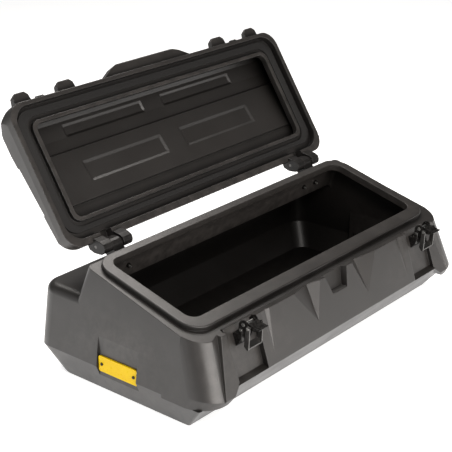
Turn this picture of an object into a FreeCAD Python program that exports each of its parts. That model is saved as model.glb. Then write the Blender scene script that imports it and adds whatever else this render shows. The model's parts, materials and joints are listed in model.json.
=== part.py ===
import FreeCAD, Part
import Sketcher
import math
import os

V = FreeCAD.Vector
ROT = FreeCAD.Rotation
PLACE = FreeCAD.Placement

doc = FreeCAD.newDocument("atv_cargo_box")
sheet = doc.addObject("Spreadsheet::Sheet", "dims")
DIMS = {}


def dim(alias, value):
    row = len(DIMS) + 1
    sheet.set("A%d" % row, alias)
    sheet.set("B%d" % row, str(value))
    sheet.setAlias("B%d" % row, alias)
    DIMS[alias] = float(value)


# seam plane between tub and lid: slopes down towards the front
dim("slope", 15.0)
dim("open_y", -177.9)
dim("open_z", 227.8)
dim("open_half", 427.6)
dim("open_depth", 252.3)
dim("ledge", 12.0)
dim("wall", 5.0)

# tub hull
dim("foot_half", 470.0)
dim("foot_front", -202.4)
dim("foot_rear", 202.4)
dim("belt_z", 70.0)
dim("belt_half", 499.0)
dim("belt_rear", 240.0)
dim("end_lean", 0.14)
dim("panel_top_y", -243.0)
dim("panel_top_z", 211.0)
dim("panel_low_y", -281.0)
dim("panel_low_z", 95.0)
dim("step_y", -222.5)
dim("step_z", 204.5)
dim("ledge_front", -222.0)
dim("top_rear", 92.0)
dim("shelf_front", 117.0)
dim("shelf_rear", 237.0)
dim("shelf_z", 213.5)
dim("corner_front", 6.0)
dim("corner_rear", 45.0)
dim("corner_top", 14.0)
dim("shelf_soft", 22.0)

# raised rim
dim("rim_half", 456.0)
dim("rim_front", 34.2)
dim("rim_rear", 273.0)

# front pillars, latch pockets, finger notch and flutes
dim("pillar_in", 391.0)
dim("pillar_low", -284.0)
dim("pillar_high", -240.0)
dim("pillar_base", 62.0)
dim("pocket_in", 296.0)
dim("pocket_depth", 15.0)
dim("pocket_top", 216.0)
dim("notch_top_half", 45.0)
dim("notch_low_half", 28.0)
dim("notch_low", 167.0)
dim("notch_top", 216.0)
dim("flute_mid", 113.0)
dim("flute_tip", 100.0)
dim("flute_half", 50.0)
dim("flute_deep", 19.0)
dim("flute_low", 129.0)

# end plates
dim("plate_x", 489.0)
dim("plate_y0", -76.0)
dim("plate_y1", 44.0)
dim("plate_z0", 58.5)
dim("plate_z1", 96.5)
dim("plate_thick", 4.0)

# floor bolt pattern
dim("floor_bolt_x", 300.0)
dim("floor_bolt_y", 110.0)
dim("floor_bolt_r", 4.5)

# hinge
dim("pivot_y", 130.0)
dim("pivot_z", 301.0)
dim("lid_open", 137.9)
dim("hinge_x", 359.0)
dim("hinge_pin_r", 4.0)
dim("run_gap", 0.05)
dim("knuckle_half", 16.0)
dim("arm_in", 16.6)
dim("arm_out", 45.0)
dim("foot_wide", 34.0)

# lid, in seam coordinates
dim("lid_half", 474.0)
dim("lid_front", -45.0)
dim("lid_rear", 305.0)
dim("lid_skirt", -11.5)
dim("lid_wall_top", 11.0)
dim("lid_top_front", 50.0)
dim("lid_top_front_s", 8.0)
dim("lid_top_rear", 20.0)
dim("lid_top_rear_s", 276.0)
dim("lid_panel_drop", 4.5)
dim("lid_panel_s0", 87.0)
dim("lid_panel_s1", 208.0)
dim("lid_taper", 8.0)
dim("lid_skin", 5.0)
dim("ridge_in", 410.4)
dim("ridge_out", 422.0)
dim("ridge_s0", 10.5)
dim("ridge_s1", 241.8)
dim("groove_out", 461.0)
dim("groove_floor", 6.0)
dim("flange_top", 11.0)

# latch
dim("latch_x", 346.0)
dim("lever_y", -264.0)
dim("lever_z", 219.0)
dim("lever_droop", 12.0)
dim("hook_arm", 16.0)
dim("lever_pin_r", 3.0)
dim("cheek_in", 16.4)
dim("cheek_thick", 2.5)
dim("hook_rest", 228.0)
doc.recompute()


def val(alias):
    return float(sheet.get(alias))


def text(e):
    return e if isinstance(e, str) else repr(float(e))


def amount(e):
    return float(doc.getObject("dims").evalExpression(text(e)))


def seam_z(y, n):
    return "(dims.open_z + (%s - dims.open_y)*tan(dims.slope) + (%s)/cos(dims.slope))" % (text(y), text(n))


SEAM = PLACE(V(0, val("open_y"), val("open_z")), ROT(V(1, 0, 0), val("slope")))
PIVOT = V(0, val("pivot_y"), val("pivot_z"))
SWING = PLACE(V(0, 0, 0), ROT(V(1, 0, 0), -val("lid_open")), PIVOT)
LID = SWING.multiply(SEAM)
pivot_in_seam = SEAM.inverse().multVec(PIVOT)
PS, PN = pivot_in_seam.y, pivot_in_seam.z


def extrude(name, role, pts, length, offset=None, place=None):
    """A padded polygon; every corner is held by two dimensions."""
    body = doc.addObject("PartDesign::Body", name)
    sk = body.newObject("Sketcher::SketchObject", name + "_sketch")
    plane = [f for f in body.Origin.OriginFeatures if f.Role == role][0]
    sk.AttachmentSupport = [(plane, "")]
    sk.MapMode = "FlatFace"
    if offset is not None:
        sk.setExpression("AttachmentOffset.Base.z", text(offset))
    num = [(amount(a), amount(b)) for a, b in pts]
    n = len(num)
    for i in range(n):
        a, b = num[i], num[(i + 1) % n]
        sk.addGeometry(Part.LineSegment(V(a[0], a[1], 0), V(b[0], b[1], 0)), False)
    for i in range(n):
        sk.addConstraint(Sketcher.Constraint("Coincident", i, 2, (i + 1) % n, 1))
    for i in range(n):
        for kind, k in (("DistanceX", 0), ("DistanceY", 1)):
            c = sk.addConstraint(Sketcher.Constraint(kind, -1, 1, i, 1, num[i][k]))
            if isinstance(pts[i][k], str):
                sk.setExpression("Constraints[%d]" % c, pts[i][k])
    pad = body.newObject("PartDesign::Pad", name + "_pad")
    pad.Profile = sk
    pad.SideType = "Symmetric"
    if isinstance(length, str):
        pad.setExpression("Length", length)
    else:
        pad.Length = length
    if place is not None:
        body.Placement = place
    doc.recompute()
    return body


def between(name, role, pts, low, high, place=None):
    """A padded polygon from one distance to another along the plane's normal."""
    return extrude(name, role, pts, "(%s) - (%s)" % (text(high), text(low)), "((%s) + (%s))/2" % (text(high), text(low)), place)


def rounded(name, half, s0, s1, n0, n1, radius, place):
    """A block with rounded upright corners, in the given frame."""
    box = doc.addObject("Part::Box", name + "_block")
    box.setExpression("Length", "2*(%s)" % text(half))
    box.setExpression("Width", "(%s) - (%s)" % (text(s1), text(s0)))
    box.setExpression("Height", "(%s) - (%s)" % (text(n1), text(n0)))
    box.Placement = place.multiply(PLACE(V(-amount(half), amount(s0), amount(n0)), ROT()))
    doc.recompute()
    up = place.Rotation.multVec(V(0, 0, 1))
    return round_edges(name, box, lambda e: abs(direction(e).dot(up)) > 0.999, radius)


def direction(edge):
    a, b = edge.Vertexes[0].Point, edge.Vertexes[-1].Point
    d = b.sub(a)
    return d.normalize() if d.Length > 1e-9 else V(0, 0, 0)


def round_edges(name, base, test, radius):
    fil = doc.addObject("Part::Fillet", name)
    fil.Base = base
    fil.Edges = [(i + 1, amount(radius), amount(radius)) for i, e in enumerate(base.Shape.Edges) if len(e.Vertexes) == 2 and test(e)]
    doc.recompute()
    return fil


def block(name, x0, x1, y0, y1, z0, z1, place=None):
    box = doc.addObject("Part::Box", name)
    box.setExpression("Length", "(%s) - (%s)" % (text(x1), text(x0)))
    box.setExpression("Width", "(%s) - (%s)" % (text(y1), text(y0)))
    box.setExpression("Height", "(%s) - (%s)" % (text(z1), text(z0)))
    local = PLACE(V(amount(x0), amount(y0), amount(z0)), ROT())
    box.Placement = place.multiply(local) if place is not None else local
    doc.recompute()
    return box


def rod(name, radius, length, at, along, place=None):
    cyl = doc.addObject("Part::Cylinder", name)
    cyl.setExpression("Radius", text(radius))
    cyl.setExpression("Height", text(length))
    local = PLACE(V(*at), ROT(V(0, 0, 1), V(*along)))
    cyl.Placement = place.multiply(local) if place is not None else local
    doc.recompute()
    return cyl


def fuse(name, items):
    f = doc.addObject("Part::MultiFuse", name)
    f.Shapes = items
    doc.recompute()
    return f


def cut(name, base, tools):
    c = doc.addObject("Part::Cut", name)
    c.Base = base
    c.Tool = tools[0] if len(tools) == 1 else fuse(name + "_tools", tools)
    doc.recompute()
    return c


def common(name, items):
    c = doc.addObject("Part::MultiCommon", name)
    c.Shapes = items
    doc.recompute()
    return c


def mirror(name, source):
    m = doc.addObject("Part::Mirroring", name)
    m.Source = source
    m.Normal = V(1, 0, 0)
    m.Base = V(0, 0, 0)
    doc.recompute()
    return m


def solid(name, points, faces, place=None):
    """A closed solid from corner points and faces."""
    skins = []
    for f in faces:
        ring = [V(*points[i]) for i in f]
        flat = len(ring) == 3 or abs((ring[1] - ring[0]).cross(ring[2] - ring[0]).normalize().dot(ring[3] - ring[0])) < 1e-6
        for tri in ([ring] if flat else [[ring[0], ring[1], ring[2]], [ring[0], ring[2], ring[3]]]):
            skins.append(Part.Face(Part.makePolygon(tri + [tri[0]])))
    shape = Part.makeSolid(Part.makeShell(skins))
    if shape.Volume < 0:
        shape.reverse()
    obj = doc.addObject("Part::Feature", name)
    obj.Shape = shape
    if place is not None:
        obj.Placement = place
    doc.recompute()
    return obj


NODES = {}


def node(obj, label):
    obj.Label = label
    NODES[label] = obj


# ---------------------------------------------------------------- tub
LEAN = "((dims.panel_top_y - dims.panel_low_y)/(dims.panel_top_z - dims.panel_low_z))"
lean = amount(LEAN)


def panel_y(z):
    """The front panel leans back towards the top."""
    return val("panel_low_y") + lean * (z - val("panel_low_z"))


REAR_FALL = "((dims.shelf_front - dims.top_rear)/(dims.shelf_z - %s))" % seam_z("dims.top_rear", "-dims.ledge")


def hull(tag, inset, top_n, shelf_drop):
    """The tub's envelope, or its hollow when inset is the wall thickness."""
    w = text(inset)
    low = "-20"
    rear_top = "(dims.top_rear - %s)" % w
    front = [("dims.panel_low_y + 1.06*%s - %s*(dims.panel_low_z + 20)" % (w, LEAN), low)]
    if inset == 0:
        front += [("dims.panel_top_y", "dims.panel_top_z"), ("dims.step_y", "dims.step_z"), ("dims.ledge_front", seam_z("dims.ledge_front", top_n))]
    else:
        tilt = math.tan(math.radians(val("slope")))
        z0 = amount(seam_z("0", top_n))
        y = (panel_y(0) + 1.06 * inset + lean * z0) / (1.0 - lean * tilt)
        front += [(y, z0 + tilt * y)]
    main = extrude(tag + "_profile", "YZ_Plane", front + [
        (rear_top, seam_z(rear_top, top_n)), ("%s + %s*(-20 - %s)" % (rear_top, REAR_FALL, seam_z(rear_top, top_n)), low)], 1100)
    shelf = extrude(tag + "_shelf", "YZ_Plane", [
        ("0", low), ("0", "dims.shelf_z - %s" % text(shelf_drop)),
        ("dims.shelf_rear - %s" % w, "dims.shelf_z + 2 - %s" % text(shelf_drop)),
        ("dims.belt_rear + 2 - %s" % w, low)], 1100)
    ends = extrude(tag + "_ends", "XZ_Plane", [
        ("-(dims.belt_half - %s + dims.end_lean*(dims.belt_z + 20))" % w, low),
        ("dims.belt_half - %s + dims.end_lean*(dims.belt_z + 20)" % w, low),
        ("dims.belt_half - %s - dims.end_lean*(320 - dims.belt_z)" % w, "320"),
        ("-(dims.belt_half - %s - dims.end_lean*(320 - dims.belt_z))" % w, "320")], 900)
    block_up = common(tag + "_upper", [main, ends])
    upper_r = round_edges(tag + "_upper_round", block_up,
                          lambda e: abs(direction(e).z) > 0.85 and abs(e.CenterOfMass.x) > 400 and e.CenterOfMass.y > 60, val("corner_top") - inset)
    block_back = common(tag + "_back", [shelf, ends])
    back_r = round_edges(tag + "_back_round", block_back,
                         lambda e: abs(direction(e).z) > 0.85 and abs(e.CenterOfMass.x) > 400 and e.CenterOfMass.y > 180, val("corner_rear") - inset)
    edge_z = val("shelf_z") - shelf_drop - 1
    back_s = round_edges(tag + "_back_soft", back_r,
                         lambda e: min(v.Point.z for v in e.Vertexes) > edge_z and max(v.Point.y for v in e.Vertexes) > 1, val("shelf_soft") - inset)
    upper_all = fuse(tag + "_upper_all", [upper_r, back_s])
    corners = []
    for side in (-1, 1):
        reach = 690 if inset == 0 else 676
        corners.append(between("%s_corner_%d" % (tag, side + 1), "XY_Plane", [
            (side * (reach - 330), -330), (side * 570, -330), (side * 570, 570 - reach)], "dims.pillar_base + 0.5 - %s" % w, 330))
        lo, hi = sorted((side * (val("pillar_in") - inset), side * 570))
        if inset == 0:
            corners.append(between("%s_behind_pillar_%d" % (tag, side + 1), "XZ_Plane", [
                (side * 391, 96.5), (side * 398.5, 89.5), (side * 570, 89.5), (side * 570, 330), (side * 391, 330)], 190, 330))
        else:
            corners.append(between("%s_behind_pillar_%d" % (tag, side + 1), "YZ_Plane", [
                ("-330", "55"), ("dims.pillar_low + 12", "55"), ("dims.pillar_low + 12", "dims.pillar_base + 14"), ("dims.pillar_high + 16", "197"), ("dims.pillar_high + 16", "330"), ("-330", "330")], lo, hi))
    upper_c = cut(tag + "_upper_cut", upper_all, corners)
    rise_front = "(dims.panel_low_y - dims.foot_front)/dims.panel_low_z"
    rise_rear = "(dims.belt_rear - dims.foot_rear)/dims.belt_z"
    rise_end = "(dims.belt_half - dims.foot_half)/dims.belt_z"
    floor = text(inset)
    low_side = extrude(tag + "_foot_side", "YZ_Plane", [
        ("dims.foot_front + %s + (%s)*%s" % (text(1.3 * inset), rise_front, floor), floor),
        ("dims.foot_front + %s + (%s)*330" % (text(1.3 * inset), rise_front), "330"),
        ("dims.foot_rear - %s + (%s)*330" % (text(1.1 * inset), rise_rear), "330"),
        ("dims.foot_rear - %s + (%s)*%s" % (text(1.1 * inset), rise_rear, floor), floor)], 1300)
    low_end = extrude(tag + "_foot_end", "XZ_Plane", [
        ("-(dims.foot_half - %s + (%s)*%s)" % (text(1.1 * inset), rise_end, floor), floor),
        ("dims.foot_half - %s + (%s)*%s" % (text(1.1 * inset), rise_end, floor), floor),
        ("dims.foot_half - %s + (%s)*330" % (text(1.1 * inset), rise_end), "330"),
        ("-(dims.foot_half - %s + (%s)*330)" % (text(1.1 * inset), rise_end), "330")], 1300)
    block_low = common(tag + "_lower", [low_side, low_end])
    lower_f = round_edges(tag + "_lower_front", block_low, lambda e: abs(direction(e).z) > 0.5 and e.CenterOfMass.y < 0, "dims.corner_front")
    lower_r = round_edges(tag + "_lower_round", lower_f, lambda e: abs(direction(e).z) > 0.5 and e.CenterOfMass.y > 0, val("corner_rear") - inset)
    return common(tag, [upper_c, lower_r])


outer = hull("tub_outer", 0.0, "-dims.ledge", 0.0)
inner = hull("tub_hollow", val("wall"), "-dims.ledge - 6", val("wall"))

# pillars at both front corners, flush with the ends
pillar_raw = common("pillar_raw", [
    between("pillar_profile", "YZ_Plane", [
        ("-150", "dims.pillar_base"),
        ("dims.pillar_low + 7", "dims.pillar_base"),
        ("dims.pillar_low", "dims.pillar_base + 14"),
        ("-239.3", seam_z("-239.3", "-dims.ledge")),
        ("-150", seam_z("-150", "-dims.ledge"))], "dims.pillar_in", 520),
    extrude("pillar_ends", "XZ_Plane", [
        ("-(dims.belt_half + dims.end_lean*(dims.belt_z + 20))", "-20"),
        ("dims.belt_half + dims.end_lean*(dims.belt_z + 20)", "-20"),
        ("dims.belt_half - dims.end_lean*(320 - dims.belt_z)", "320"),
        ("-(dims.belt_half - dims.end_lean*(320 - dims.belt_z))", "320")], 900)])
pillar_r = round_edges("pillar_round", pillar_raw,
                       lambda e: abs(direction(e).z) > 0.6 and e.CenterOfMass.x > 440 and e.CenterOfMass.y < -233, "56")
flute_v = solid("pillar_groove", [
    (405, -238.1, 205), (440, -238.1, 205), (409, -227.6, 205),
    (446.5, -289.3, 64), (452, -289.3, 64), (447.5, -285.8, 64)],
    [(0, 1, 2), (3, 5, 4), (0, 3, 4, 1), (1, 4, 5, 2), (2, 5, 3, 0)])
slant = between("pillar_slant", "XZ_Plane", [(380, 104.3), (380, 50), (444.2, 50)], 100, 330)
pillar_right = cut("pillar_right", pillar_r, [flute_v, slant])
pillar_left = mirror("pillar_left", pillar_right)

# latch pockets end on a sloping sill; a wall is kept behind them
pocket_top_y = "(dims.panel_low_y + dims.pocket_depth + %s*(dims.pocket_top - dims.panel_low_z))" % LEAN
pocket_pts = [("dims.panel_low_y", "dims.panel_low_z"), ("dims.panel_low_y + dims.pocket_depth + %s*5" % LEAN, "dims.panel_low_z + 5"),
              (pocket_top_y, "dims.pocket_top"), ("-330", "dims.pocket_top"), ("-330", "dims.panel_low_z")]
back_pts = [("dims.panel_low_y + 4", "dims.panel_low_z - 8"), ("dims.panel_low_y + dims.pocket_depth + 1.06*dims.wall", "dims.panel_low_z - 1"),
            (pocket_top_y + " + 1.06*dims.wall + %s*dims.wall" % LEAN, "dims.pocket_top + dims.wall"), ("-330", "dims.pocket_top + dims.wall"), ("-330", "dims.panel_low_z - 8")]
pocket_right = between("pocket_right", "YZ_Plane", pocket_pts, "dims.pocket_in", "dims.pillar_in")
pocket_left = mirror("pocket_left", pocket_right)
backing_right = between("backing_right", "YZ_Plane", back_pts, "dims.pocket_in - dims.wall", "dims.pillar_in + dims.wall")
backing_left = mirror("backing_left", backing_right)

# finger notch in the middle of the front, open at the top
notch = common("notch", [
    extrude("notch_front", "XZ_Plane", [
        ("-dims.notch_low_half", "dims.notch_low"), ("dims.notch_low_half", "dims.notch_low"),
        ("dims.notch_top_half", "dims.notch_top"), ("-dims.notch_top_half", "dims.notch_top")], 900),
    extrude("notch_side", "YZ_Plane", [("-241", "dims.notch_low"), ("-222", "214"), ("-222", "dims.notch_top"), ("-330", "dims.notch_top"), ("-330", "dims.notch_low")], 200)])
notch_back = common("notch_back", [
    extrude("notch_back_front", "XZ_Plane", [
        ("-(dims.notch_low_half + 5)", "dims.notch_low - dims.wall"), ("dims.notch_low_half + 5", "dims.notch_low - dims.wall"),
        ("dims.notch_top_half + 5", "dims.notch_top"), ("-(dims.notch_top_half + 5)", "dims.notch_top")], 900),
    extrude("notch_back_side", "YZ_Plane", [("-237.4", "dims.notch_low - dims.wall"), ("-215.6", "dims.notch_top"), ("-330", "dims.notch_top"), ("-330", "dims.notch_low - dims.wall")], 200)])


# two hollow flutes that taper to a point below
def flute(tag, more_wide, more_deep, t_low):
    """A hollow cut into the leaning panel, wide at the top, with one long and one short wall."""
    rings = []
    for t in (t_low, 1.06):
        z = val("flute_low") + (212 - val("flute_low")) * t
        wide = val("flute_half") * max(t, 0.03) + more_wide
        deep = val("flute_deep") * max(t, 0.03) + more_deep
        mid = val("flute_tip") + (val("flute_mid") - val("flute_tip")) * t
        left, low, right = V(mid - wide, panel_y(z), z), V(mid - 0.4 * wide, panel_y(z) + deep, z), V(mid + wide, panel_y(z), z)
        rings.append(Part.makePolygon([left, low, right, right + V(0, -14, 0), left + V(0, -14, 0), left]))
    shape = Part.makeLoft(rings, True, True)
    if shape.Volume < 0:
        shape.reverse()
    obj = doc.addObject("Part::Feature", tag)
    obj.Shape = shape
    doc.recompute()
    return obj


flute_right = flute("flute_right", 0.0, 0.0, 0.03)
flute_left = mirror("flute_left", flute_right)
flute_back_right = flute("flute_back_right", 16.0, 5.6, -0.25)
flute_back_left = mirror("flute_back_left", flute_back_right)

# a shallow tapering groove on each side of the panel, near the pocket
groove_z, tip_z = 214.0, 88.0
wedge_right = solid("panel_groove_right", [
    (246, panel_y(groove_z) - 1, groove_z), (263, panel_y(groove_z) + 3.5, groove_z), (286, panel_y(groove_z) - 1, groove_z), (269, panel_y(tip_z) - 1, tip_z)],
    [(0, 1, 2), (0, 3, 1), (1, 3, 2), (0, 2, 3)])
wedge_left = mirror("panel_groove_left", wedge_right)

# flat seats for the end plates
seat_right = block("plate_seat_right", "dims.plate_x", 540, "dims.plate_y0", "dims.plate_y1", 30, 260)
seat_left = mirror("plate_seat_left", seat_right)
seat_back_right = block("plate_back_right", "dims.plate_x - dims.wall", 540, "dims.plate_y0 - dims.wall", "dims.plate_y1 + dims.wall", 20, 260)
seat_back_left = mirror("plate_back_left", seat_back_right)

rim_block = rounded("rim_block", "dims.rim_half", "-dims.rim_front", "dims.rim_rear", "-dims.ledge - 2", 0, 50, SEAM)
rim_out = round_edges("rim_outside", rim_block, lambda e: min(SEAM.inverse().multVec(v.Point).z for v in e.Vertexes) > -0.01, 3.0)
opening = rounded("rim_opening", "dims.open_half", 0, "dims.open_depth", -26, 4, 26, SEAM)

hollow = cut("hollow_shaped", inner, [backing_right, backing_left, notch_back, flute_back_right, flute_back_left, seat_back_right, seat_back_left])
shell_plus = fuse("tub_mass", [outer, pillar_right, pillar_left, rim_out])

# bolt holes: floor, latches, hinge brackets, end plates
floor_holes = []
for ix in (-1, 1):
    for iy in (-1, 1):
        floor_holes.append(rod("floor_hole_%d%d" % (ix + 1, iy + 1), "dims.floor_bolt_r", 40, (ix * val("floor_bolt_x"), iy * val("floor_bolt_y"), -10), (0, 0, 1)))

lean_ang = math.atan(lean)
PN_OUT = V(0, -math.cos(lean_ang), math.sin(lean_ang))


def pocket_y(z):
    return panel_y(z) + val("pocket_depth")


latch_fix = []
for side in (-1, 1):
    for z in (170.5, 184.5):
        latch_fix.append(V(side * val("latch_x"), pocket_y(z), z))
latch_holes = [rod("latch_hole_%d" % i, 2.7, 60, tuple(p - PN_OUT * 30), tuple(PN_OUT)) for i, p in enumerate(latch_fix)]

rear_dy, rear_dz = val("shelf_front") - val("top_rear"), val("shelf_z") - amount(seam_z("dims.top_rear", "-dims.ledge"))
rear_len = math.hypot(rear_dy, rear_dz)
REAR_OUT = V(0, -rear_dz / rear_len, rear_dy / rear_len)
REAR_DOWN = V(0, rear_dy / rear_len, rear_dz / rear_len)
REAR_TOP = V(0, val("top_rear"), amount(seam_z("dims.top_rear", "-dims.ledge")))


def rear_at(x, down, out):
    return V(x, 0, 0) + REAR_TOP + REAR_DOWN * down + REAR_OUT * out


hinge_fix = []
for side in (-1, 1):
    for dx in (-25, 25):
        hinge_fix.append(rear_at(side * val("hinge_x") + dx, 44, 0))
hinge_holes = [rod("hinge_hole_%d" % i, 3.3, 60, tuple(p - REAR_OUT * 30), tuple(REAR_OUT)) for i, p in enumerate(hinge_fix)]

plate_fix = []
for side in (-1, 1):
    for y in (val("plate_y0") + 12, val("plate_y1") - 12):
        plate_fix.append((side, V(side * val("plate_x"), y, 0.5 * (val("plate_z0") + val("plate_z1")))))
plate_holes = [rod("plate_hole_%d" % i, 1.9, 40, (p.x - 20, p.y, p.z), (1, 0, 0)) for i, (sd, p) in enumerate(plate_fix)]

tub = cut("tub_solid", shell_plus, [hollow, opening, pocket_right, pocket_left, notch, flute_right, flute_left, wedge_right, wedge_left, seat_right, seat_left]
          + floor_holes + latch_holes + hinge_holes + plate_holes)
node(tub, "tub")

# ---------------------------------------------------------------- lid
TOP_FALL = "((dims.lid_top_front - dims.lid_top_rear)/(dims.lid_top_rear_s - 54))"


def top_n(at, less="0"):
    """Height of the lid's falling top above the seam."""
    return "dims.lid_top_front - %s*((%s) - 54) - (%s)" % (TOP_FALL, text(at), text(less))


lid_profile = extrude("lid_profile", "YZ_Plane", [
    ("dims.lid_front", "dims.lid_skirt"), ("dims.lid_front", "dims.lid_wall_top"),
    ("dims.lid_top_front_s - 6", "dims.lid_top_front - 3"), ("dims.lid_top_front_s + 4", "dims.lid_top_front"), ("54", "dims.lid_top_front"),
    ("dims.lid_panel_s0 - 1.5", top_n("dims.lid_panel_s0 - 1.5")), ("dims.lid_panel_s0 + 1.5", top_n("dims.lid_panel_s0 + 1.5", "dims.lid_panel_drop")),
    ("dims.lid_panel_s1 - 1.5", top_n("dims.lid_panel_s1 - 1.5", "dims.lid_panel_drop")), ("dims.lid_panel_s1 + 1.5", top_n("dims.lid_panel_s1 + 1.5")),
    ("dims.lid_top_rear_s", "dims.lid_top_rear"), ("dims.lid_rear - 12", "17"), ("dims.lid_rear", "13"), ("dims.lid_rear", "dims.lid_skirt")], 1100, None, LID)
lid_ends = extrude("lid_ends", "XZ_Plane", [
    ("-dims.lid_half", "dims.lid_skirt"), ("dims.lid_half", "dims.lid_skirt"), ("dims.lid_half", "8"),
    ("dims.lid_half - dims.lid_taper", "dims.lid_top_front + 8"), ("-(dims.lid_half - dims.lid_taper)", "dims.lid_top_front + 8"), ("-dims.lid_half", "8")], 900, None, LID)
lid_plan = rounded("lid_plan", "dims.lid_half", "dims.lid_front", "dims.lid_rear", "dims.lid_skirt", 70, 43, LID)
lid_outer = common("lid_outer", [lid_profile, lid_ends, lid_plan])
cav_profile = extrude("lid_cavity_profile", "YZ_Plane", [
    ("dims.lid_front + dims.lid_skin + 2", "dims.flange_top"),
    ("dims.lid_top_front_s + 1", "dims.lid_top_front - 3 - dims.lid_skin"), ("dims.lid_top_front_s + 6", "dims.lid_top_front - dims.lid_skin"), ("53", "dims.lid_top_front - dims.lid_skin"),
    ("dims.lid_panel_s0 - 4", top_n("dims.lid_panel_s0 - 4", "dims.lid_skin")), ("dims.lid_panel_s0 - 1", top_n("dims.lid_panel_s0 - 1", "dims.lid_panel_drop + dims.lid_skin")),
    ("dims.lid_panel_s1 + 1", top_n("dims.lid_panel_s1 + 1", "dims.lid_panel_drop + dims.lid_skin")), ("dims.lid_panel_s1 + 4", top_n("dims.lid_panel_s1 + 4", "dims.lid_skin")),
    ("dims.lid_top_rear_s - 3", "dims.lid_top_rear - dims.lid_skin"), ("dims.lid_rear - 16", "dims.flange_top")], 1100, None, LID)
cav_ends = extrude("lid_cavity_ends", "XZ_Plane", [
    ("-(dims.lid_half - dims.lid_skin - 0.5)", "dims.flange_top"), ("dims.lid_half - dims.lid_skin - 0.5", "dims.flange_top"),
    ("dims.lid_half - dims.lid_taper - dims.lid_skin", "dims.lid_top_front + 8"), ("-(dims.lid_half - dims.lid_taper - dims.lid_skin)", "dims.lid_top_front + 8")], 900, None, LID)
cav_plan = rounded("lid_cavity_plan", "dims.lid_half - dims.lid_skin - 0.5", "dims.lid_front + dims.lid_skin", "dims.lid_rear - dims.lid_skin", "dims.flange_top", 70, 38, LID)
lid_cavity = common("lid_cavity", [cav_profile, cav_ends, cav_plan])

lid_recess = rounded("lid_recess", "dims.ridge_in", "dims.ridge_s0", "dims.ridge_s1", -30, "dims.flange_top + 2", 18, LID)
groove_out = rounded("lid_groove_outside", "dims.groove_out", "dims.lid_front + 10", "dims.lid_rear - 16", -30, "dims.groove_floor", 44, LID)
groove_in = rounded("lid_groove_inside", "dims.ridge_out", 2, "dims.open_depth - 2", -40, "dims.groove_floor + 10", 24, LID)
ridge_trim = block("ridge_trim", -440, 440, -20, 280, -20, -4, LID)
lid_groove = cut("lid_groove", groove_out, [groove_in])

# handle bulge and the lugs that flank each latch
bulge_plan = between("bulge_plan", "XY_Plane", [
    (-158, "dims.lid_front + 12"), (-158, "dims.lid_front"), (-122, "dims.lid_front - 20"), (-98, "dims.lid_front - 28"), (98, "dims.lid_front - 28"),
    (122, "dims.lid_front - 20"), (158, "dims.lid_front"), (158, "dims.lid_front + 12")], 1.5, 19, LID)
bulge_side = extrude("bulge_side", "YZ_Plane", [
    ("dims.lid_front + 12", 1.5), ("dims.lid_front - 26", 1.5), ("dims.lid_front - 28", 4.0), ("dims.lid_front - 28", 10), ("dims.lid_front - 20", 16), ("dims.lid_front + 12", 19)], 400, None, LID)
bulge = common("handle_bulge", [bulge_plan, bulge_side])
lugs = []
for i, (a, b) in enumerate(((-434, -382), (-302, -244), (244, 302), (382, 434))):
    lugs.append(common("lug_%d" % i, [
        between("lug_plan_%d" % i, "XY_Plane", [(a, "dims.lid_front + 8"), (a + 4, "dims.lid_front - 17"), (a + 13, "dims.lid_front - 25"), (b - 13, "dims.lid_front - 25"), (b - 4, "dims.lid_front - 17"), (b, "dims.lid_front + 8")], 4, 24, LID),
        between("lug_side_%d" % i, "YZ_Plane", [("dims.lid_front + 24", 4), ("dims.lid_front - 25", 4), ("dims.lid_front - 25", 10), ("dims.lid_front - 17", 16), ("dims.lid_front + 24", 24)], a - 2, b + 2, LID)]))

# raised pads on the top, hollow inside
top_fall = -math.degrees(math.atan(amount(TOP_FALL)))
TOP = LID.multiply(PLACE(V(0, 54, val("lid_top_front")), ROT(V(1, 0, 0), top_fall)))


def pad(name, x0, x1, s0, s1, low, high, flare, place):
    """A tapering pad with soft corners, wider at its low face."""
    pts = [(x0 - flare, s0 - flare, low), (x1 + flare, s0 - flare, low), (x1 + flare, s1 + flare, low), (x0 - flare, s1 + flare, low),
           (x0, s0, high), (x1, s0, high), (x1, s1, high), (x0, s1, high)]
    raw = solid(name + "_raw", pts, [(0, 3, 2, 1), (4, 5, 6, 7), (0, 1, 5, 4), (1, 2, 6, 5), (2, 3, 7, 6), (3, 0, 4, 7)], place)
    up = place.Rotation.multVec(V(0, 0, 1))
    return round_edges(name, raw, lambda e: abs(direction(e).dot(up)) > 0.2, 9.0)


pad_skin, pad_hollow = [], []
skin, drop, high = val("lid_skin"), val("lid_panel_drop"), val("lid_top_front")
for i, x0 in enumerate((-304, 30)):
    x1 = x0 + 274
    pad_skin.append(pad("lid_pad_front_%d" % i, x0 + 4, x1 - 4, 18, 52, high - 1.0, high + 3.4, 5.0, LID))
    pad_hollow.append(pad("lid_pad_front_hollow_%d" % i, x0 + 9, x1 - 9, 27, 47, high - skin - 2.6, high - 1.4, 9.7, LID))
    pad_skin.append(pad("lid_pad_rear_%d" % i, x0 + 4, x1 - 4, 67, 118, -drop - 1.0, -drop + 3.6, 5.0, TOP))
    pad_hollow.append(pad("lid_pad_rear_hollow_%d" % i, x0 + 10, x1 - 10, 73, 112, -drop - skin - 2.6, -drop - 1.2, 12.3, TOP))

hinge_notches = []
for side in (-1, 1):
    cx = side * val("hinge_x")
    hinge_notches.append(block("hinge_notch_%d" % (side + 1), cx - 17.4, cx + 17.4, "dims.lid_rear - 19", "dims.lid_rear + 20", -14, 9.4, LID))

arm_fix = []
for side in (-1, 1):
    for dx in (-31, 31):
        arm_fix.append((side * val("hinge_x") + dx, val("lid_rear"), 3.0))
arm_holes = [rod("arm_hole_%d" % i, 2.2, 24, (p[0], p[1] - 18, p[2]), (0, 1, 0), LID) for i, p in enumerate(arm_fix)]
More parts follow.
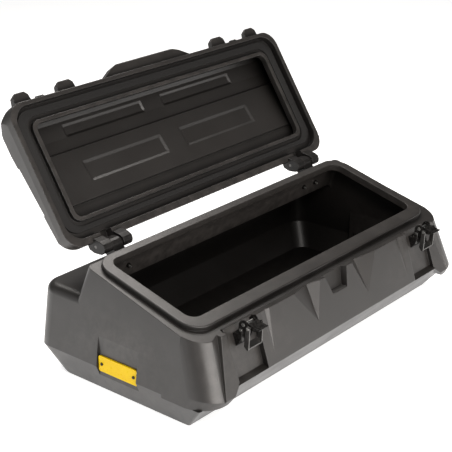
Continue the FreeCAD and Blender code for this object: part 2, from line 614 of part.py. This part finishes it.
# strikes sit on the sloping front wall of the lid
wall_ds, wall_dn = val("lid_top_front_s") - 6 - val("lid_front"), val("lid_top_front") - 3 - val("lid_wall_top")
wall_len = math.hypot(wall_ds, wall_dn)
WALL_UP = V(0, wall_ds / wall_len, wall_dn / wall_len)
WALL_OUT = V(0, -wall_dn / wall_len, wall_ds / wall_len)


def on_wall(t, d):
    """A place on the lid's front wall: distance up the wall, distance off it."""
    return V(0, val("lid_front"), val("lid_wall_top")) + WALL_UP * t + WALL_OUT * d


strike_fix = []
for side in (-1, 1):
    for dx in (-7, 7):
        strike_fix.append(V(side * val("latch_x") + dx, 0, 0) + on_wall(22, 0))
strike_holes = [rod("strike_hole_%d" % i, 1.7, 14, tuple(p - WALL_OUT * 8), tuple(WALL_OUT), LID) for i, p in enumerate(strike_fix)]

lid_body = cut("lid_hollowed", lid_outer, [lid_cavity])
lid_full = fuse("lid_full", [lid_body, bulge] + lugs + pad_skin)
lid_shell = cut("lid_shell_solid", lid_full, [lid_recess, lid_groove, ridge_trim] + pad_hollow + hinge_notches + arm_holes + strike_holes)
node(lid_shell, "lid_shell")

gasket_out = rounded("gasket_outside", "dims.groove_out - 8", "dims.lid_front + 19", "dims.lid_rear - 32", "0.6", "dims.groove_floor", 38, LID)
gasket_in = rounded("gasket_inside", "dims.ridge_out + 9", -9, "dims.open_depth + 9", -10, 20, 32, LID)
node(cut("gasket_ring", gasket_out, [gasket_in]), "lid_gasket")

# ---------------------------------------------------------------- hinges
gap = val("run_gap")
for side, word in ((-1, "left"), (1, "right")):
    cx = side * val("hinge_x")
    tag = "hinge_%s" % word
    # lid side: two thick arms screwed to the lid's rear edge, with the pin through them
    arms = []
    for k, sign in enumerate((-1, 1)):
        lo, hi = sorted((sign * val("arm_in"), sign * val("arm_out")))
        bar = between("%s_arm_bar_%d" % (tag, k), "YZ_Plane", [
            ("dims.lid_rear", 12.0), (PS - 2.0, PN + 21.8), (PS + 10.0, PN + 12.5), (PS + 18.0, PN - 0.5), (PS + 22.4, PN - 10.0), (PS + 21.6, PN - 19.0), (PS + 15.0, PN - 25.5), (PS + 5.0, PN - 27.6),
            (PS - 5.6, PN - 20.5), (PS - 18.4, PN - 5.8), (PS - 18.0, "dims.lid_skirt - 0.2"), ("dims.lid_rear", "dims.lid_skirt - 0.2")], cx + lo, cx + hi, LID)
        arms.append(round_edges("%s_arm_soft_%d" % (tag, k), bar, lambda e: abs(direction(e).x) > 0.99 and (LID.inverse().multVec(e.CenterOfMass) - V(0, PS, PN)).z < -6, 5.0))
    arm_pair = fuse(tag + "_arm_pair", arms)
    strap = between(tag + "_arm_strap", "YZ_Plane", [("dims.lid_rear", 9.6), ("dims.lid_rear", 12.6), ("dims.lid_rear + 4", 12.6), ("dims.lid_rear + 4", 9.6)], cx - 20, cx + 20, LID)
    arm_raw = fuse(tag + "_arm_raw", [arm_pair, strap])
    bore = rod(tag + "_arm_bore", "dims.hinge_pin_r + dims.run_gap", 160, (cx - 80, PS, PN), (1, 0, 0), LID)
    fixes = [rod("%s_arm_fix_%d" % (tag, k), 2.2, 30, (p[0], p[1] - 6, p[2]), (0, 1, 0), LID) for k, p in enumerate(arm_fix) if p[0] * side > 0]
    sinks = [rod("%s_arm_sink_%d" % (tag, k), 4.6, 40, (p[0], p[1] + 5.0, p[2]), (0, 1, 0), LID) for k, p in enumerate(arm_fix) if p[0] * side > 0]
    node(cut(tag + "_arm", arm_raw, [bore] + fixes + sinks), "hinge_arm_%s" % word)

    # tub side: one thick knuckle on a foot bolted to the sloping rear wall
    f0, f1, f2, f3 = rear_at(0, 26, 0), rear_at(0, 62, 0), rear_at(0, 62, 6), rear_at(0, 28, 6)
    foot = between(tag + "_foot", "YZ_Plane", [(f0.y, f0.z), (f1.y, f1.z), (f2.y, f2.z), (f3.y, f3.z)], cx - val("foot_wide"), cx + val("foot_wide"))
    g0, g1, g2 = rear_at(0, 3, 0), rear_at(0, 36, 6), rear_at(0, 36, 0)
    knuckle = between(tag + "_knuckle", "YZ_Plane", [
        (g0.y, g0.z), (103.8, 296), (105, 304.5), (110.5, 310.5), (118, 313), (130, 313), (138, 310), (142.5, 303), (142, 294.5), (137, 288), (g1.y, g1.z), (g2.y, g2.z)],
        cx - val("knuckle_half"), cx + val("knuckle_half"))
    s0, s1, s2, s3 = rear_at(0, 9, 0), rear_at(0, 30, 0), rear_at(0, 30, 8), rear_at(0, 11, 8)
    seat = between(tag + "_seat", "YZ_Plane", [(s0.y, s0.z), (s1.y, s1.z), (s2.y, s2.z), (s3.y, s3.z)], cx - 42, cx + 42)
    raw = fuse(tag + "_bracket_raw", [knuckle, foot, seat])
    bore2 = rod(tag + "_bracket_bore", "dims.hinge_pin_r + 0.02", 160, (cx - 80, PIVOT.y, PIVOT.z), (1, 0, 0))
    holes = [rod("%s_bracket_hole_%d" % (tag, k), 3.3, 60, tuple(p - REAR_OUT * 30), tuple(REAR_OUT)) for k, p in enumerate(hinge_fix) if p.x * side > 0]
    node(cut(tag + "_bracket", raw, [bore2] + holes), "hinge_bracket_%s" % word)

    pin = rod(tag + "_pin_rod", "dims.hinge_pin_r", "2*dims.arm_out - 1", (cx - val("arm_out") + 0.5, PIVOT.y, PIVOT.z), (1, 0, 0))
    node(pin, "hinge_pin_%s" % word)


def hexagon(name, across, thick, at, along):
    """A hexagonal prism along a direction."""
    r = across / math.sqrt(3.0)
    n = V(*along)
    u = V(1, 0, 0) if abs(n.x) < 0.9 else V(0, 1, 0)
    v = n.cross(u).normalize()
    u = v.cross(n).normalize()
    ring = [V(*at) + u * (r * math.cos(math.radians(60 * k))) + v * (r * math.sin(math.radians(60 * k))) for k in range(6)]
    face = Part.Face(Part.makePolygon(ring + [ring[0]]))
    obj = doc.addObject("Part::Feature", name)
    obj.Shape = face.extrude(n * thick)
    doc.recompute()
    return obj


def screw_set(label, items):
    """Separate, identical fasteners kept as one group."""
    group = doc.addObject("Part::Compound", label + "_group")
    group.Links = items
    doc.recompute()
    node(group, label)


bolts, nuts = [], []
for i, p in enumerate(hinge_fix):
    n = REAR_OUT
    shank = rod("hinge_bolt_shank_%d" % i, 3.0, 24, tuple(p - n * 17.5), tuple(n))
    head = hexagon("hinge_bolt_head_%d" % i, 10.0, 4.0, tuple(p + n * 6.0), tuple(n))
    bolts.append(fuse("hinge_bolt_%d" % i, [shank, head]))
    raw = hexagon("hinge_nut_raw_%d" % i, 10.0, 5.0, tuple(p - n * 12.2), tuple(n))
    nuts.append(cut("hinge_nut_%d" % i, raw, [rod("hinge_nut_bore_%d" % i, 3.02, 40, tuple(p - n * 25), tuple(n))]))
screw_set("hinge_bracket_bolts", bolts)
screw_set("hinge_bracket_nuts", nuts)

arm_screws = []
for i, p in enumerate(arm_fix):
    shank = rod("arm_screw_shank_%d" % i, 2.0, 17, (p[0], p[1] - 11.5, p[2]), (0, 1, 0), LID)
    head = rod("arm_screw_head_%d" % i, 4.0, 2.4, (p[0], p[1] + 5.0, p[2]), (0, 1, 0), LID)
    arm_screws.append(fuse("arm_screw_%d" % i, [shank, head]))
screw_set("hinge_arm_screws", arm_screws)

# ---------------------------------------------------------------- latches
AY, AZ = val("lever_y"), val("lever_z")
droop = math.radians(val("lever_droop"))
OUT_Y, OUT_Z = -math.cos(droop), -math.sin(droop)


def lever_pt(p, q):
    """A place on the lever: distance out from its pin, height off its axis."""
    return (AY + p * OUT_Y + q * OUT_Z, AZ + p * OUT_Z - q * OUT_Y)


def seam_pt(y, z):
    q = SEAM.inverse().multVec(V(0, y, z))
    return (q.y, q.z)


BY, BZ = lever_pt(val("hook_arm"), 0)
ci, ct = val("cheek_in"), val("cheek_thick")
half = ci + ct
latch_screws, latch_nuts = [], []
for side, word in ((-1, "left"), (1, "right")):
    cx = side * val("latch_x")
    tag = "latch_%s" % word

    def floor_pt(z, out):
        return (pocket_y(z) + PN_OUT.y * out, z + PN_OUT.z * out)

    # bracket: two cheeks on a foot screwed to the pocket's floor
    foot = between(tag + "_foot", "YZ_Plane", [floor_pt(163.5, 0), floor_pt(191, 0), floor_pt(191, 3), floor_pt(163.5, 3)], cx - half, cx + half)
    parts = [foot]
    for k, (a, b) in enumerate(((-half, -ci), (ci, half))):
        parts.append(between("%s_cheek_%d" % (tag, k), "YZ_Plane", [
            floor_pt(164, 1), (-251, 171), (-258.8, 186), (-260.2, 208.5), (-266.5, 207.5), (-272.0, 211.5), (-274.3, 219), (-271.5, 226), (-264, 229.3), (-256.5, 226), (-251.5, 219), (-250.8, 205), (-250.8, 193.4), floor_pt(190.5, 1)], cx + a, cx + b))
    raw = fuse(tag + "_bracket_raw", parts)
    drills = [rod(tag + "_pin_bore", "dims.lever_pin_r + 0.02", 60, (cx - 30, AY, AZ), (1, 0, 0)),
              rod(tag + "_rivet_bore", 2.02, 60, (cx - 30, -256.4, 204.5), (1, 0, 0))]
    drills += [rod("%s_foot_hole_%d" % (tag, k), 2.7, 30, tuple(p - PN_OUT * 10), tuple(PN_OUT)) for k, p in enumerate(latch_fix) if p.x * side > 0]
    node(cut(tag + "_bracket", raw, drills), "latch_bracket_%s" % word)

    pin = rod(tag + "_pin_rod", "dims.lever_pin_r", "2*(dims.cheek_in + dims.cheek_thick)", (cx - half, AY, AZ), (1, 0, 0))
    heads = [rod("%s_pin_head_%d" % (tag, k), 4.2, 1.3, (cx + x0, AY, AZ), (1, 0, 0)) for k, x0 in enumerate((-half - 1.3, half))]
    node(fuse(tag + "_lever_pin", [pin] + heads), "latch_lever_pin_%s" % word)
    rivets = []
    for k, (x0, x1, xh) in enumerate(((-half, -ci, -half - 1.2), (ci, half, half))):
        rivets.append(fuse("%s_rivet_%d" % (tag, k), [
            rod("%s_rivet_rod_%d" % (tag, k), 2.0, x1 - x0, (cx + x0, -256.4, 204.5), (1, 0, 0)),
            rod("%s_rivet_head_%d" % (tag, k), 3.4, 1.2, (cx + xh, -256.4, 204.5), (1, 0, 0))]))
    screw_set("latch_stop_rivet_%s" % word, rivets)

    # lever: stands out and droops a little at rest
    arms = []
    for k, (a, b) in enumerate(((-15.8, -12.2), (12.2, 15.8))):
        arms.append(rod("%s_lever_boss_%d" % (tag, k), 6.8, b - a, (cx + a, AY, AZ), (1, 0, 0)))
        arms.append(between("%s_lever_arm_%d" % (tag, k), "YZ_Plane", [lever_pt(0, -6.2), lever_pt(0, 6.2), lever_pt(12, 6.0), lever_pt(30, 5.0), lever_pt(36, 2.0), lever_pt(28, -3.6), lever_pt(16, -5.8)], cx + a, cx + b))
    paddle = between(tag + "_lever_paddle", "YZ_Plane", [
        lever_pt(8.5, 2.9), lever_pt(8.5, 6.3), lever_pt(12, 6.2), lever_pt(25, 5.6), lever_pt(33, 5.4), lever_pt(37.5, 6.4), lever_pt(39.5, 5.4), lever_pt(39, 3.2), lever_pt(34, 1.4), lever_pt(25, 1.8)], cx - 15.8, cx + 15.8)
    raw = fuse(tag + "_lever_raw", arms + [paddle])
    bores = [rod(tag + "_lever_bore", "dims.lever_pin_r + dims.run_gap", 60, (cx - 30, AY, AZ), (1, 0, 0)),
             rod(tag + "_hook_bore", 2.52, 60, (cx - 30, BY, BZ), (1, 0, 0))]
    node(cut(tag + "_lever", raw, bores), "latch_lever_%s" % word)

    hp = rod(tag + "_hook_pin_rod", 2.5, 47.4, (cx - 23.7, BY, BZ), (1, 0, 0))
    heads = [rod("%s_hook_pin_head_%d" % (tag, k), 3.6, 1.2, (cx + x0, BY, BZ), (1, 0, 0)) for k, x0 in enumerate((-24.9, 23.7))]
    node(fuse(tag + "_hook_pin", [hp] + heads), "latch_hook_pin_%s" % word)

    # hook: drawn as when locked over the strike, then hung from the lever
    HANG = PLACE(V(cx, BY, BZ), ROT(V(1, 0, 0), val("hook_rest")))
    legs = []
    for k, (a, b) in enumerate(((-23.4, -20.8), (20.8, 23.4))):
        legs.append(rod("%s_hook_eye_%d" % (tag, k), 5.0, b - a, (a, 0, 0), (1, 0, 0), HANG))
        legs.append(between("%s_hook_leg_%d" % (tag, k), "YZ_Plane", [(-3.4, 3.4), (3.4, -3.4), (34, 27.5), (37.5, 32), (37.5, 35), (35.5, 36.5), (25.5, 36.5)], a, b, HANG))
    claw = between(tag + "_hook_claw", "YZ_Plane", [(22.0, 32.6), (33.5, 32.6), (33.8, 31.7), (35.6, 31.7), (37.5, 33.0), (37.5, 35), (35.5, 36.5), (25.5, 36.5)], -23.4, 23.4, HANG)
    raw = fuse(tag + "_hook_raw", legs + [claw])
    node(cut(tag + "_hook", raw, [rod(tag + "_hook_eye_bore", 2.5 + gap, 60, (-30, 0, 0), (1, 0, 0), HANG)]), "latch_hook_%s" % word)

    for k, p in enumerate(latch_fix):
        if p.x * side < 0:
            continue
        n = PN_OUT
        shank = rod("%s_screw_shank_%d" % (tag, k), 2.5, 15, tuple(p - n * 12), tuple(n))
        head = rod("%s_screw_head_%d" % (tag, k), 4.6, 2.8, tuple(p + n * 3.0), tuple(n))
        latch_screws.append(fuse("%s_screw_%d" % (tag, k), [shank, head]))
        raw = hexagon("%s_nut_raw_%d" % (tag, k), 8.0, 4.0, tuple(p - n * 9.2), tuple(n))
        latch_nuts.append(cut("%s_nut_%d" % (tag, k), raw, [rod("%s_nut_bore_%d" % (tag, k), 2.52, 40, tuple(p - n * 25), tuple(n))]))

    # strike: a lip with a groove for the hook, placed where the hook comes down
    LX = LID.multiply(PLACE(V(cx, 0, 0), ROT()))
    w = lambda t, d: (on_wall(t, d).y, on_wall(t, d).z)
    strike_raw = between(tag + "_strike_raw", "YZ_Plane", [
        w(2, 0), w(28, 0), w(28, 3), w(8.7, 3), seam_pt(-226.0, 235.0), seam_pt(-226.8, 233.4), seam_pt(-231.0, 233.4), seam_pt(-231.8, 235.0), seam_pt(-234.5, 235.0), seam_pt(-235.6, 233.8), seam_pt(-235.6, 231.8),
        seam_pt(-233.6, 230.4), w(3.4, 3), w(2, 3)], -12, 12, LX)
    node(cut(tag + "_strike", strike_raw, [rod("%s_strike_fix_%d" % (tag, k), 1.7, 30, tuple(p - WALL_OUT * 10), tuple(WALL_OUT), LID) for k, p in enumerate(strike_fix) if p.x * side > 0]), "strike_%s" % word)
screw_set("latch_screws", latch_screws)
screw_set("latch_nuts", latch_nuts)

strike_screws = []
for i, p in enumerate(strike_fix):
    shank = rod("strike_screw_shank_%d" % i, 1.5, 9, tuple(p - WALL_OUT * 6), tuple(WALL_OUT), LID)
    head = rod("strike_screw_head_%d" % i, 2.6, 1.4, tuple(p + WALL_OUT * 3), tuple(WALL_OUT), LID)
    strike_screws.append(fuse("strike_screw_%d" % i, [shank, head]))
screw_set("strike_screws", strike_screws)

# ---------------------------------------------------------------- end plates
plate_screws = []
for side, word in ((-1, "left"), (1, "right")):
    x0, x1 = (val("plate_x"), val("plate_x") + val("plate_thick"))
    lo, hi = (x0, x1) if side > 0 else (-x1, -x0)
    y0, y1, z0, z1 = val("plate_y0") + 2, val("plate_y1") - 2, val("plate_z0"), val("plate_z1")
    face = between("plate_%s" % word, "YZ_Plane", [
        (y0 + 3, z0), (y1 - 3, z0), (y1, z0 + 3), (y1, z1 - 3), (y1 - 3, z1), (y0 + 3, z1), (y0, z1 - 3), (y0, z0 + 3)], lo, hi)
    drill = [rod("plate_fix_%s_%d" % (word, k), 1.9, 40, (p.x - 20, p.y, p.z), (1, 0, 0)) for k, (sd, p) in enumerate(plate_fix) if sd == side]
    node(cut("reflector_%s_solid" % word, face, drill), "reflector_%s" % word)
for i, (sd, p) in enumerate(plate_fix):
    shank = rod("plate_screw_shank_%d" % i, 1.75, 12, (p.x - sd * 7.5, p.y, p.z), (sd, 0, 0))
    head = rod("plate_screw_head_%d" % i, 3.6, 1.8, (p.x + sd * val("plate_thick"), p.y, p.z), (sd, 0, 0))
    plate_screws.append(fuse("plate_screw_%d" % i, [shank, head]))
screw_set("reflector_screws", plate_screws)

# ---------------------------------------------------------------- write
doc.recompute()
bad = [o.Name for o in doc.Objects if "Invalid" in o.State or "Error" in o.State]
if bad:
    raise RuntimeError("objects in error: " + ", ".join(bad))
os.makedirs("parts", exist_ok=True)
for label in sorted(NODES):
    shape = NODES[label].Shape
    if shape.isNull() or not shape.isValid() or shape.Volume <= 0:
        raise RuntimeError("bad shape: " + label)
    shape.exportStep(os.path.join("parts", label + ".step"))
    bb = shape.BoundBox
    print("%-24s solids %d  vol %.1f  x %.1f..%.1f y %.1f..%.1f z %.1f..%.1f" % (
        label, len(shape.Solids), shape.Volume / 1000.0, bb.XMin, bb.XMax, bb.YMin, bb.YMax, bb.ZMin, bb.ZMax))
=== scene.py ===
import bpy
import json
import math
from mathutils import Matrix, Vector

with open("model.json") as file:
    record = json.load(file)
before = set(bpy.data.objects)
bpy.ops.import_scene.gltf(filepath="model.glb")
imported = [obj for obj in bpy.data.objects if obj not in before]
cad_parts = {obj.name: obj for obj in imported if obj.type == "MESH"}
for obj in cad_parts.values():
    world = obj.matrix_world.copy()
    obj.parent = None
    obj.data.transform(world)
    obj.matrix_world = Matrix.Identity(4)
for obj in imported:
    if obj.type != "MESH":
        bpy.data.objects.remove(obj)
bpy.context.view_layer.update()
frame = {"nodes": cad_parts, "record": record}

N = frame["nodes"]
scene = bpy.context.scene


# ------------------------------------------------------------------ materials
class Mat:
    """A node material with a few shorthands."""

    def __init__(self, name):
        self.m = bpy.data.materials.new(name)
        self.m.use_nodes = True
        self.t = self.m.node_tree
        self.t.nodes.clear()
        self.out = self.t.nodes.new("ShaderNodeOutputMaterial")
        self.p = self.t.nodes.new("ShaderNodeBsdfPrincipled")
        self.t.links.new(self.p.outputs[0], self.out.inputs[0])
        self.coord = self.t.nodes.new("ShaderNodeTexCoord").outputs["Object"]

    def link(self, a, b):
        self.t.links.new(a, b)

    def noise(self, scale, detail=4.0, rough=0.55, stretch=None, distortion=0.0):
        n = self.t.nodes.new("ShaderNodeTexNoise")
        n.inputs["Scale"].default_value = scale
        n.inputs["Detail"].default_value = detail
        n.inputs["Roughness"].default_value = rough
        n.inputs["Distortion"].default_value = distortion
        src = self.coord
        if stretch:
            mp = self.t.nodes.new("ShaderNodeMapping")
            mp.inputs["Scale"].default_value = stretch
            self.link(src, mp.inputs["Vector"])
            src = mp.outputs[0]
        self.link(src, n.inputs["Vector"])
        return n.outputs["Fac"]

    def cells(self, scale):
        n = self.t.nodes.new("ShaderNodeTexVoronoi")
        n.inputs["Scale"].default_value = scale
        self.link(self.coord, n.inputs["Vector"])
        return n.outputs["Distance"]

    def ramp(self, fac, stops):
        r = self.t.nodes.new("ShaderNodeValToRGB")
        e = r.color_ramp.elements
        e[0].position, e[0].color = stops[0][0], (*stops[0][1], 1)
        e[1].position, e[1].color = stops[-1][0], (*stops[-1][1], 1)
        for pos, col in stops[1:-1]:
            k = e.new(pos)
            k.color = (*col, 1)
        self.link(fac, r.inputs["Fac"])
        return r.outputs["Color"]

    def span(self, fac, a, b, lo, hi):
        r = self.t.nodes.new("ShaderNodeMapRange")
        r.inputs["From Min"].default_value = a
        r.inputs["From Max"].default_value = b
        r.inputs["To Min"].default_value = lo
        r.inputs["To Max"].default_value = hi
        self.link(fac, r.inputs["Value"])
        return r.outputs["Result"]

    def times(self, a, b):
        x = self.t.nodes.new("ShaderNodeMath")
        x.operation = "MULTIPLY"
        self.link(a, x.inputs[0])
        self.link(b, x.inputs[1])
        return x.outputs[0]

    def mix(self, fac, a, b, kind="MIX"):
        x = self.t.nodes.new("ShaderNodeMix")
        x.data_type = "RGBA"
        x.blend_type = kind
        if isinstance(fac, float):
            x.inputs["Factor"].default_value = fac
        else:
            self.link(fac, x.inputs["Factor"])
        for sock, v in ((x.inputs[6], a), (x.inputs[7], b)):
            if isinstance(v, tuple):
                sock.default_value = (*v, 1)
            else:
                self.link(v, sock)
        return x.outputs[2]

    def bump(self, height, strength, distance, prev=None):
        b = self.t.nodes.new("ShaderNodeBump")
        b.inputs["Strength"].default_value = strength
        b.inputs["Distance"].default_value = distance
        self.link(height, b.inputs["Height"])
        if prev is not None:
            self.link(prev, b.inputs["Normal"])
        return b.outputs["Normal"]

    def soft_edges(self, radius):
        """Slightly rounded edges in the shading normal."""
        b = self.t.nodes.new("ShaderNodeBevel")
        b.samples = 6
        b.inputs["Radius"].default_value = radius
        return b.outputs["Normal"]

    def cavity_shade(self, reach):
        """Ambient occlusion of the object itself: low in recesses and corners, 1 on open faces; a mask for painted
        shade.
        """
        a = self.t.nodes.new("ShaderNodeAmbientOcclusion")
        a.samples = 8
        a.only_local = True
        a.inputs["Distance"].default_value = reach
        return a.outputs["AO"]

    def worn_edges(self, lo=0.52, hi=0.60):
        g = self.t.nodes.new("ShaderNodeNewGeometry")
        return self.span(g.outputs["Pointiness"], lo, hi, 0.0, 1.0)


def moulded(name, tone, rough=(0.34, 0.44), grain=0.10, scuff=0.30, edge=0.0025, wear=0.5, shine=0.5):
    """Dark moulded plastic: fine pebble grain, slight mottling, faint scuffs; painted shade darkens its own recesses
    and corners.
    """
    m = Mat(name)
    r, g, b = tone
    cloud = m.noise(5.0, 5.0, 0.6)
    col = m.ramp(cloud, [(0.30, (r * 0.86, g * 0.86, b * 0.86)), (0.55, (r, g, b)), (0.75, (r * 1.14, g * 1.13, b * 1.12))])
    speck = m.noise(420.0, 2.0, 0.5)
    col = m.mix(m.span(speck, 0.60, 0.75, 0.0, 0.35), col, (r * 1.55, g * 1.53, b * 1.5))
    streak = m.noise(26.0, 6.0, 0.7, stretch=(1.0, 1.0, 0.16))
    col = m.mix(m.span(streak, 0.62, 0.80, 0.0, scuff), col, (r * 1.6, g * 1.58, b * 1.55))
    rub = m.times(m.worn_edges(), m.span(m.noise(38.0, 4.0, 0.7), 0.38, 0.66, 0.0, wear))
    col = m.mix(rub, col, (r * 2.6 + 0.01, g * 2.55 + 0.01, b * 2.5 + 0.01))
    # Painted shade: base colour darkened toward near-black in the object's own recesses and corners (tub and lid
    # insides).
    shade_mask = m.cavity_shade(0.22)
    col = m.mix(m.span(shade_mask, 0.3, 0.9, 0.9, 0.0), col, (r * 0.2, g * 0.2, b * 0.2))
    m.link(col, m.p.inputs["Base Color"])
    m.p.inputs["IOR"].default_value = 1.54
    # Painted shade: specular level lowered in the same recesses, dimming their reflections.
    m.link(m.span(shade_mask, 0.3, 0.8, shine * 0.3, shine), m.p.inputs["Specular IOR Level"])
    blotch = m.noise(14.0, 4.0, 0.6)
    m.link(m.span(blotch, 0.3, 0.7, rough[0], rough[1]), m.p.inputs["Roughness"])
    n = m.soft_edges(edge)
    n = m.bump(m.noise(9.0, 2.0, 0.4), 0.06, 0.004, n)
    n = m.bump(m.noise(950.0, 2.0, 0.55), grain, 0.0006, n)
    m.link(n, m.p.inputs["Normal"])
    return m.m


def glossy_black(name, tone=(0.0045, 0.0042, 0.0040)):
    m = Mat(name)
    r, g, b = tone
    col = m.ramp(m.noise(60.0, 4.0), [(0.35, tone), (0.7, (r * 1.8, g * 1.8, b * 1.8))])
    rub = m.times(m.worn_edges(), m.span(m.noise(150.0, 3.0), 0.4, 0.65, 0.0, 0.5))
    col = m.mix(rub, col, (0.035, 0.033, 0.031))
    m.link(col, m.p.inputs["Base Color"])
    m.p.inputs["Specular IOR Level"].default_value = 0.13
    m.link(m.span(m.noise(140.0, 3.0), 0.3, 0.7, 0.18, 0.32), m.p.inputs["Roughness"])
    m.link(m.bump(m.noise(700.0, 2.0), 0.05, 0.0004, m.soft_edges(0.0009)), m.p.inputs["Normal"])
    return m.m


def metal(name, tone, rough=(0.22, 0.4)):
    m = Mat(name)
    r, g, b = tone
    fine = m.noise(260.0, 4.0, 0.6, stretch=(0.12, 1.0, 1.0))
    col = m.ramp(fine, [(0.3, (r * 0.75, g * 0.75, b * 0.75)), (0.7, tone)])
    dull = m.noise(70.0, 4.0, 0.65)
    col = m.mix(m.span(dull, 0.55, 0.75, 0.0, 0.45), col, (r * 0.55, g * 0.54, b * 0.52))
    m.link(col, m.p.inputs["Base Color"])
    m.p.inputs["Metallic"].default_value = 1.0
    m.link(m.span(m.noise(180.0, 3.0), 0.3, 0.7, rough[0], rough[1]), m.p.inputs["Roughness"])
    m.link(m.bump(fine, 0.08, 0.0003, m.soft_edges(0.0005)), m.p.inputs["Normal"])
    return m.m


def foam(name, tone):
    m = Mat(name)
    r, g, b = tone
    cell = m.noise(1500.0, 3.0, 0.6)
    m.link(m.ramp(cell, [(0.35, (r * 0.6, g * 0.6, b * 0.6)), (0.65, tone)]), m.p.inputs["Base Color"])
    m.link(m.span(cell, 0.3, 0.7, 0.75, 0.92), m.p.inputs["Roughness"])
    m.link(m.bump(cell, 0.3, 0.0006, m.soft_edges(0.0015)), m.p.inputs["Normal"])
    return m.m


def amber(name):
    m = Mat(name)
    fade = m.noise(24.0, 4.0, 0.6)
    col = m.ramp(fade, [(0.3, (0.92, 0.59, 0.001)), (0.6, (0.96, 0.66, 0.002)), (0.8, (0.97, 0.70, 0.008))])
    grime = m.noise(90.0, 5.0, 0.7)
    col = m.mix(m.span(grime, 0.66, 0.80, 0.0, 0.4), col, (0.62, 0.34, 0.008))
    prism = m.cells(520.0)
    col = m.mix(m.span(prism, 0.2, 0.6, 0.0, 0.25), col, (0.84, 0.50, 0.001))
    m.link(col, m.p.inputs["Base Color"])
    m.p.inputs["Specular IOR Level"].default_value = 0.22
    m.link(m.span(m.noise(120.0, 3.0), 0.3, 0.7, 0.24, 0.40), m.p.inputs["Roughness"])
    m.link(m.bump(prism, 0.12, 0.0004, m.soft_edges(0.0008)), m.p.inputs["Normal"])
    return m.m


SHELL = moulded("shell_plastic", (0.0222, 0.0200, 0.0185), shine=0.63)
HINGE = moulded("hinge_plastic", (0.0105, 0.0098, 0.0094), (0.26, 0.36), 0.06, 0.2, 0.0026, shine=0.28)
LATCH = glossy_black("latch_plastic")
STEEL = metal("bright_steel", (0.62, 0.62, 0.60))
DARK = metal("dark_steel", (0.16, 0.157, 0.152), (0.26, 0.42))
BLACKENED = metal("blackened_steel", (0.045, 0.043, 0.041), (0.34, 0.5))
SEAL = foam("seal_foam", (0.0105, 0.0096, 0.009))
AMBER = amber("reflector_plastic")
BY_SLOT = {"shell": SHELL, "hinge_plastic": HINGE, "latch_plastic": LATCH, "steel": STEEL, "dark_steel": DARK, "seal": SEAL, "reflector": AMBER}

for sub in frame["record"]["subparts"]:
    ob = N[sub["node"]]
    mat = BLACKENED if sub["node"] in ("reflector_screws", "hinge_bracket_nuts") else BY_SLOT[sub["material_slot"]]
    if not ob.material_slots:
        ob.data.materials.append(mat)
    for s in ob.material_slots:
        s.material = mat


# ------------------------------------------------------------------ stage
def area(name, loc, target, size, power, colour=(1, 1, 1)):
    light = bpy.data.lights.new(name, "AREA")
    light.shape = "RECTANGLE"
    light.size, light.size_y = size
    light.energy = power
    light.color = colour
    ob = bpy.data.objects.new(name, light)
    scene.collection.objects.link(ob)
    ob.location = loc
    ob.rotation_euler = (Vector(target) - Vector(loc)).to_track_quat("-Z", "Y").to_euler()
    return ob


def floor():
    me = bpy.data.meshes.new("floor")
    s = 14.0
    me.from_pydata([(-s, -s, 0), (s, -s, 0), (s, s, 0), (-s, s, 0)], [], [(0, 1, 2, 3)])
    ob = bpy.data.objects.new("floor", me)
    scene.collection.objects.link(ob)
    m = Mat("floor_paint")
    m.link(m.ramp(m.noise(3.0, 3.0), [(0.3, (0.80, 0.80, 0.80)), (0.7, (0.84, 0.84, 0.84))]), m.p.inputs["Base Color"])
    m.p.inputs["Roughness"].default_value = 0.9
    m.p.inputs["Specular IOR Level"].default_value = 0.1
    m.p.inputs["Emission Color"].default_value = (1, 1, 1, 1)
    m.p.inputs["Emission Strength"].default_value = 0.78
    me.materials.append(m.m)
    return ob


floor()
world = bpy.data.worlds.new("studio")
scene.world = world
world.use_nodes = True
bg = world.node_tree.nodes["Background"]
bg.inputs[0].default_value = (1, 1, 1, 1)
bg.inputs[1].default_value = 0.08
WARM = (1.0, 0.955, 0.915)
area("front", (-0.35, -3.6, 0.7), (-0.05, -0.2, 0.15), (3.2, 1.3), 94, WARM)
area("top", (0.6, 1.22, 2.75), (0.0, -0.1, 0.25), (2.2, 1.4), 84, WARM)
area("left", (-3.2, 1.4, 1.4), (-0.3, 0.0, 0.2), (2.0, 1.4), 9)
area("key", (-1.35, -1.9, 2.15), (-0.1, 0.25, 0.45), (0.8, 0.6), 34, WARM)

cam = bpy.data.cameras.new("photo_camera")
cam.lens = 100.04
cam.sensor_width = 36.0
cam.sensor_fit = "HORIZONTAL"
cam.clip_end = 60
cam_ob = bpy.data.objects.new("photo_camera", cam)
scene.collection.objects.link(cam_ob)
right, up, back = Vector((0.6404, -0.7681, 0.0)), Vector((0.2881, 0.2402, 0.9271)), Vector((-0.712, -0.5937, 0.3751))
rot = Matrix((right, up, back)).transposed().to_4x4()
cam_ob.matrix_world = Matrix.Translation((-2.199, -1.746, 1.396)) @ rot
scene.camera = cam_ob
scene.view_settings.view_transform = "Standard"
